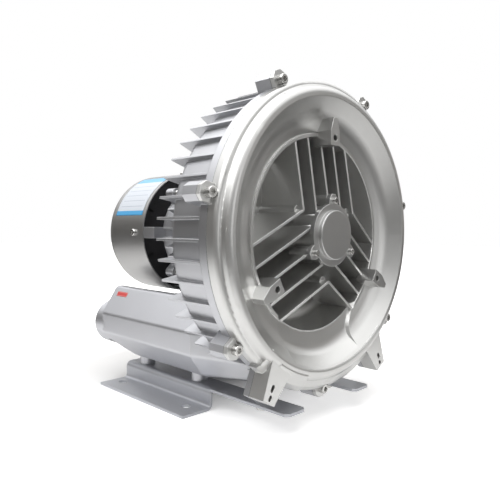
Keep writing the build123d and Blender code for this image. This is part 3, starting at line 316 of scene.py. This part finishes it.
black_plastic = moulded_material("black_plastic", color=(0.022, 0.022, 0.024), roughness=0.42)
seal_rubber = moulded_material("seal_rubber", color=(0.03, 0.03, 0.03), roughness=0.6)
pressed_fibre = moulded_material("pressed_fibre", color=(0.10, 0.11, 0.11), roughness=0.8)
absorber_foam = moulded_material("absorber_foam", color=(0.06, 0.06, 0.065), roughness=0.95,
                                 grain_scale=450.0, grain=1.0)
winding_wire = moulded_material("winding_wire", color=(0.30, 0.10, 0.03), roughness=0.3,
                                grain_scale=900.0, grain=0.8, coat=0.5)
board_plastic = moulded_material("board_plastic", color=(0.03, 0.025, 0.02), roughness=0.4)
dress(black_plastic, "cooling_fan", "cable_gland")
dress(seal_rubber, "front_shaft_seal", "back_shaft_seal")
dress(pressed_fibre, "cover_gasket")
dress(absorber_foam, "silencer_foam_left", "silencer_foam_right")
dress(winding_wire, "stator_windings")
dress(board_plastic, "terminal_board")


# Fan rim: the outer part of the fan's back plate, between the disc and the cowl. It is one moulding with
# the fan, turns with it, and closes the view past the fan into the cowl.
def grid_object(name, points, finish, closed=False):
    """A mesh from an array of points [u, v, 3], with one quad between four neighbours; closed joins the
    last row to the first and the last column to the first. Its map is u and v, each from 0 to 1."""
    rows, columns = points.shape[:2]
    index = np.arange(rows * columns).reshape(rows, columns)
    if closed:
        index = np.pad(index, ((0, 1), (0, 1)), mode="wrap")
    quads = np.stack([index[:-1, :-1], index[1:, :-1], index[1:, 1:], index[:-1, 1:]], axis=-1)
    mesh = bpy.data.meshes.new(name)
    mesh.from_pydata(points.reshape(-1, 3).tolist(), [], quads.reshape(-1, 4).tolist())
    across, along = np.meshgrid(np.linspace(0, 1, rows), np.linspace(0, 1, columns), indexing="ij")
    spread = np.stack([across, along], axis=-1).reshape(-1, 2)
    corner_of = np.empty(len(mesh.loops), dtype=np.int32)
    mesh.loops.foreach_get("vertex_index", corner_of)
    mesh.uv_layers.new(name="UVMap").uv.foreach_set("vector", spread[corner_of].ravel())
    mesh.materials.append(finish)
    mesh.update()
    mesh.shade_smooth()
    made = bpy.data.objects.new(name, mesh)
    bpy.context.collection.objects.link(made)
    return made


def turned_ring(name, inner, outer, front, back, finish, steps=120):
    """A flat ring with square edges: its four corners, each a radius and a place along the shaft, are
    carried round the shaft in even steps of a circle."""
    radius = np.array([inner, inner, outer, outer])
    along_shaft = np.array([front, back, back, front])
    turns = np.linspace(0, 2 * np.pi, steps, endpoint=False)
    points = np.stack([shaft_x + np.outer(np.cos(turns), radius), np.tile(along_shaft, (steps, 1)),
                       shaft_z + np.outer(np.sin(turns), radius)], axis=-1)
    return grid_object(name, points, finish, closed=True)


fan_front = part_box("cooling_fan")[0][1]
rim_inner, rim_outer = 0.0619, 0.0735
rim_thickness = 0.0022
fan_rim = turned_ring("fan_rim", rim_inner, rim_outer, fan_front, fan_front + rim_thickness, black_plastic)
fan_rim.data.shade_flat()
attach(fan_rim, "rotor")


# Cowl label: a printed film on the upper left of the cowl, an empty ruled form between a pale blue head
# band and a blue foot band. It is stuck round the cowl's side, a hair above the paint.
label_turn = (radians(113), radians(164))
label_inset, label_length = 0.006, 0.062
label_front = cowl_low[1] + label_inset
label_along = (label_front, label_front + label_length)
label_steps = (49, 25)
film_lift, film_thickness = 0.00015, 0.0001


def cowl_point(angle, back):
    """Points on the film: the cowl's radius and the lift, turned to an angle from the right as seen from
    the front, at a place along the shaft."""
    radius = cowl_radius + film_lift
    return np.stack([shaft_x + radius * np.cos(angle), back, shaft_z + radius * np.sin(angle)], axis=-1)


def stripe(made, value, middle, half_width):
    """1 where a value lies within half a width of a middle, else 0."""
    away = made.math("ABSOLUTE", made.math("SUBTRACT", value, middle))
    return made.math("LESS_THAN", away, half_width)


def stripes(made, value, middles, half_width):
    """1 on any of several like stripes, else 0."""
    found = 0.0
    for middle in middles:
        found = made.math("MAXIMUM", found, stripe(made, value, middle, half_width))
    return found


def label_material():
    """Film with a wide pale blue band at its head, a narrow blue one at its foot, and thin rules between
    them. The film's own map runs down the round of the cowl, then along the shaft."""
    bare_film, head_blue, foot_blue = (0.66, 0.70, 0.76, 1), (0.20, 0.50, 0.76, 1), (0.08, 0.38, 0.70, 1)
    rule_ink, rule_strength = (0.25, 0.30, 0.38, 1), 0.55
    head_ends, foot_starts = 0.20, 0.91
    rule_places, rule_half_width = (0.34, 0.46, 0.58, 0.70, 0.82), 0.006
    margin = 0.10
    made, surface, finished = new_material("printed_film")
    place = made.parts(made.add("ShaderNodeUVMap", uv_map="UVMap").outputs[0])
    down, along = place["X"], place["Y"]
    film = made.blend(made.math("LESS_THAN", down, head_ends), bare_film, head_blue)
    film = made.blend(made.math("GREATER_THAN", down, foot_starts), film, foot_blue)
    inside = made.math("MULTIPLY", made.math("GREATER_THAN", along, margin),
                       made.math("LESS_THAN", along, 1 - margin))
    rules = made.math("MULTIPLY", stripes(made, down, rule_places, rule_half_width), inside)
    made.fill(surface["Base Color"], made.blend(made.math("MULTIPLY", rules, rule_strength), film, rule_ink))
    made.fill(surface["Roughness"], made.vary(made.noise(300.0, detail=3.0), low=0.42, high=0.50))
    return finished


def film_grid(across, along, steps):
    """Two arrays of places on a film, in even steps: the first changes from row to row, the second from
    column to column."""
    return np.meshgrid(np.linspace(*across, steps[0]), np.linspace(*along, steps[1]), indexing="ij")


def thin_film(name, points, finish):
    """A film on its grid of points, given its thickness inwards."""
    film = grid_object(name, points, finish)
    film.modifiers.new("film", "SOLIDIFY").thickness = film_thickness
    return film


label_points = cowl_point(*film_grid(label_turn, label_along, label_steps))
label = thin_film("cowl_label", label_points, label_material())
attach(label, "root")


# Silencer sticker: a narrow red film with a thin paler line near its edge, at the back of the left
# chamber's sloping side. It lies flat on the paint, just under the slope's top edge.

# The slope's top and low edges, each as X and Z, the way down between them, and the way out of it.
slope_top = np.array([-0.080, 0.125])
slope_low = np.array([-0.102, 0.091])
slope_way = (slope_low - slope_top) / np.linalg.norm(slope_low - slope_top)
slope_out = np.array([slope_way[1], -slope_way[0]])
sticker_down = (0.0075, 0.0140)
sticker_along = (0.0600, 0.0835)
sticker_steps = (9, 17)


def slope_point(down, back):
    """Points on the film: the slope's top edge, plus a way down the slope, plus the lift along its
    normal, at a place along the shaft."""
    spot = slope_top + down[..., None] * slope_way + film_lift * slope_out
    return np.stack([spot[..., 0], back, spot[..., 1]], axis=-1)


def sticker_material():
    """Red film with a thin paler line near each of its four edges, a little faded in patches."""
    red, faded_red, line_red = (0.50, 0.035, 0.035, 1), (0.62, 0.07, 0.06, 1), (0.75, 0.55, 0.52, 1)
    long_places, long_half_width = (0.14, 0.86), 0.035
    short_places, short_half_width = (0.04, 0.96), 0.01
    line_strength = 0.6
    made, surface, finished = new_material("red_film")
    place = made.parts(made.add("ShaderNodeUVMap", uv_map="UVMap").outputs[0])
    long_lines = stripes(made, place["X"], long_places, long_half_width)
    short_lines = stripes(made, place["Y"], short_places, short_half_width)
    line = made.math("MULTIPLY", made.math("MAXIMUM", long_lines, short_lines), line_strength)
    fade = made.noise(250.0)
    made.fill(surface["Base Color"], made.blend(line, made.blend(fade, red, faded_red), line_red))
    made.fill(surface["Roughness"], made.vary(fade, low=0.40, high=0.48))
    return finished


sticker_points = slope_point(*film_grid(sticker_down, sticker_along, sticker_steps))
sticker = thin_film("silencer_sticker", sticker_points, sticker_material())
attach(sticker, "root")


# Floor: a large white sheet that takes the blower's shadow. The camera sees it white, metal mirrors only
# the part around the blower, and underneath the blower its glow fades out, a painted shadow over the real
# one.
half_floor = 6.0
floor_mesh = bpy.data.meshes.new("studio_floor")
floor_mesh.from_pydata([(-half_floor, -half_floor, 0), (half_floor, -half_floor, 0),
                        (half_floor, half_floor, 0), (-half_floor, half_floor, 0)], [], [(0, 1, 2, 3)])
floor = bpy.data.objects.new("studio_floor", floor_mesh)
bpy.context.collection.objects.link(floor)


def floor_material():
    """White paper. Its glow rises with the distance from the middle of the floor, for the camera and, in
    the near part alone, for mirrored rays, and it fades out towards the middle of the feet as a painted
    shadow. Past the near part other rays meet grey."""
    white, far_grey = (0.90, 0.90, 0.90, 1), (0.10, 0.10, 0.10, 1)
    near_full, near_ends = 0.35, 0.9
    mirrored_share = 0.8
    close_glow, glow_starts, glow_full = 0.56, 0.35, 1.1
    feet_middle = (shaft_x, 0.10, 0)
    # Painted shadow under the blower: no glow within the first distance of the middle of the feet, full glow
    # past the second.
    painted_shadow_full, painted_shadow_ends = 0.11, 0.24
    made, surface, finished = new_material("floor_paint")
    rays = made.add("ShaderNodeLightPath").outputs
    place = made.place()
    away = made.vector("LENGTH", place)
    near = made.span(away, near_full, near_ends, 1.0, 0.0)
    reflected = made.math("MAXIMUM", rays["Is Glossy Ray"], rays["Is Transmission Ray"])
    mirrored = made.math("MULTIPLY", reflected, made.math("MULTIPLY", near, mirrored_share))
    lit = made.math("MAXIMUM", rays["Is Camera Ray"], mirrored)
    glow = made.span(away, glow_starts, glow_full, close_glow, 1.0)
    # Painted shadow: the glow fades out towards the middle of the feet.
    clear = made.span(made.vector("DISTANCE", place, feet_middle), painted_shadow_full, painted_shadow_ends, 0.0, 1.0)
    shown = made.math("MAXIMUM", rays["Is Camera Ray"], near)
    made.fill(surface["Base Color"], made.blend(shown, far_grey, white))
    made.fill(surface["Emission Strength"], made.math("MULTIPLY", lit, made.math("MULTIPLY", glow, clear)))
    surface["Emission Color"].default_value = (1, 1, 1, 1)
    surface["Roughness"].default_value = 0.9
    surface["Specular IOR Level"].default_value = 0.0
    return finished


floor_mesh.materials.append(floor_material())


# Light: one large soft box above on the left, and three weak ones in front and at the sides that fill
# the dish and the front cover.
def soft_light(name, place, width, height, power):
    """An area light at a place, turned towards the middle of the blower."""
    aim = Vector((0.0, 0.0, 0.18))
    lamp = bpy.data.lights.new(name, "AREA")
    lamp.shape = "RECTANGLE"
    lamp.size, lamp.size_y = width, height
    lamp.energy = power
    made = bpy.data.objects.new(name, lamp)
    turn = (aim - Vector(place)).to_track_quat("-Z", "Y").to_matrix().to_4x4()
    made.matrix_world = Matrix.Translation(place) @ turn
    bpy.context.collection.objects.link(made)


soft_light("top_box", (-0.7, 0.0, 2.2), width=2.8, height=2.8, power=74)
soft_light("front_left_box", (-1.9, -1.7, 1.5), width=1.2, height=0.6, power=2)
soft_light("right_strip", (1.9, -0.9, 0.8), width=0.45, height=1.3, power=1)
soft_light("front_low_box", (0.7, -2.0, 0.5), width=1.2, height=0.9, power=3)


# Surround: white to the camera. Metal mirrors a studio instead, with a bright ceiling, a softer back and
# front, and a dark and slightly warm band between them at the height of the eye.
def surround():
    """Strength by the kind of ray. Mirrored rays get the most of a darkest level and three spans of their
    direction, the camera gets at least 1, and diffuse rays get one even level."""
    ceiling_from, ceiling_full, ceiling_strength = 0.2, 0.65, 1.8
    back_share, back_from, back_full, back_strength = 0.7, 0.1, 0.75, 0.3
    front_from, front_full, front_strength = -0.25, -0.9, 0.40
    darkest, even_level = 0.08, 0.28
    warm_tint, white, white_from = (1.0, 0.90, 0.78, 1), (1, 1, 1, 1), 0.40
    world = bpy.data.worlds.new("studio")
    world.use_nodes = True
    sky = Nodes(world.node_tree)
    rays = sky.add("ShaderNodeLightPath").outputs
    plain = sky.math("MAXIMUM", rays["Is Camera Ray"], rays["Is Transmission Ray"])
    seen = sky.math("MAXIMUM", plain, rays["Is Glossy Ray"])
    way = sky.parts(sky.add("ShaderNodeTexCoord").outputs["Generated"])
    behind = sky.math("ADD", sky.math("MULTIPLY", way["X"], back_share),
                      sky.math("MULTIPLY", way["Y"], back_share))
    back = sky.span(behind, back_from, back_full, 0.0, back_strength)
    ceiling = sky.span(way["Z"], ceiling_from, ceiling_full, 0.0, ceiling_strength)
    front = sky.span(way["Y"], front_from, front_full, 0.0, front_strength)
    mirrored = sky.math("MAXIMUM", sky.math("MAXIMUM", front, darkest), sky.math("MAXIMUM", back, ceiling))
    around = sky.math("MULTIPLY", seen, sky.math("MAXIMUM", plain, mirrored))
    even = sky.math("MULTIPLY", sky.math("SUBTRACT", 1.0, seen), even_level)
    strength = sky.math("ADD", around, even)
    tint = sky.blend(sky.span(strength, darkest, white_from, 0.0, 1.0), warm_tint, white)
    background = sky.add("ShaderNodeBackground", {"Color": tint, "Strength": strength})
    sky.add("ShaderNodeOutputWorld", {"Surface": background.outputs[0]})
    return world


bpy.context.scene.world = surround()
bpy.context.scene.view_settings.view_transform = "Standard"


# Camera: a close view from the front left, a little above the shaft, turned right by the yaw, tipped
# down by the pitch and rolled a little.
camera_place = (-0.4488, -0.5219, 0.203)
camera_yaw, camera_pitch, camera_roll = radians(45.25), radians(-2.35), radians(0.5)
ahead = Vector((sin(camera_yaw) * cos(camera_pitch), cos(camera_yaw) * cos(camera_pitch), sin(camera_pitch)))
level = Vector((cos(camera_yaw), -sin(camera_yaw), 0))
right = level * cos(camera_roll) + level.cross(ahead) * sin(camera_roll)
up = right.cross(ahead)
lens = bpy.data.cameras.new("camera")
lens.sensor_width = 36.0
lens.lens = 37.44
lens.clip_start = 0.01
camera = bpy.data.objects.new("camera", lens)
camera.matrix_world = Matrix.Translation(camera_place) @ Matrix((right, up, -ahead)).transposed().to_4x4()
bpy.context.collection.objects.link(camera)
bpy.context.scene.camera = camera
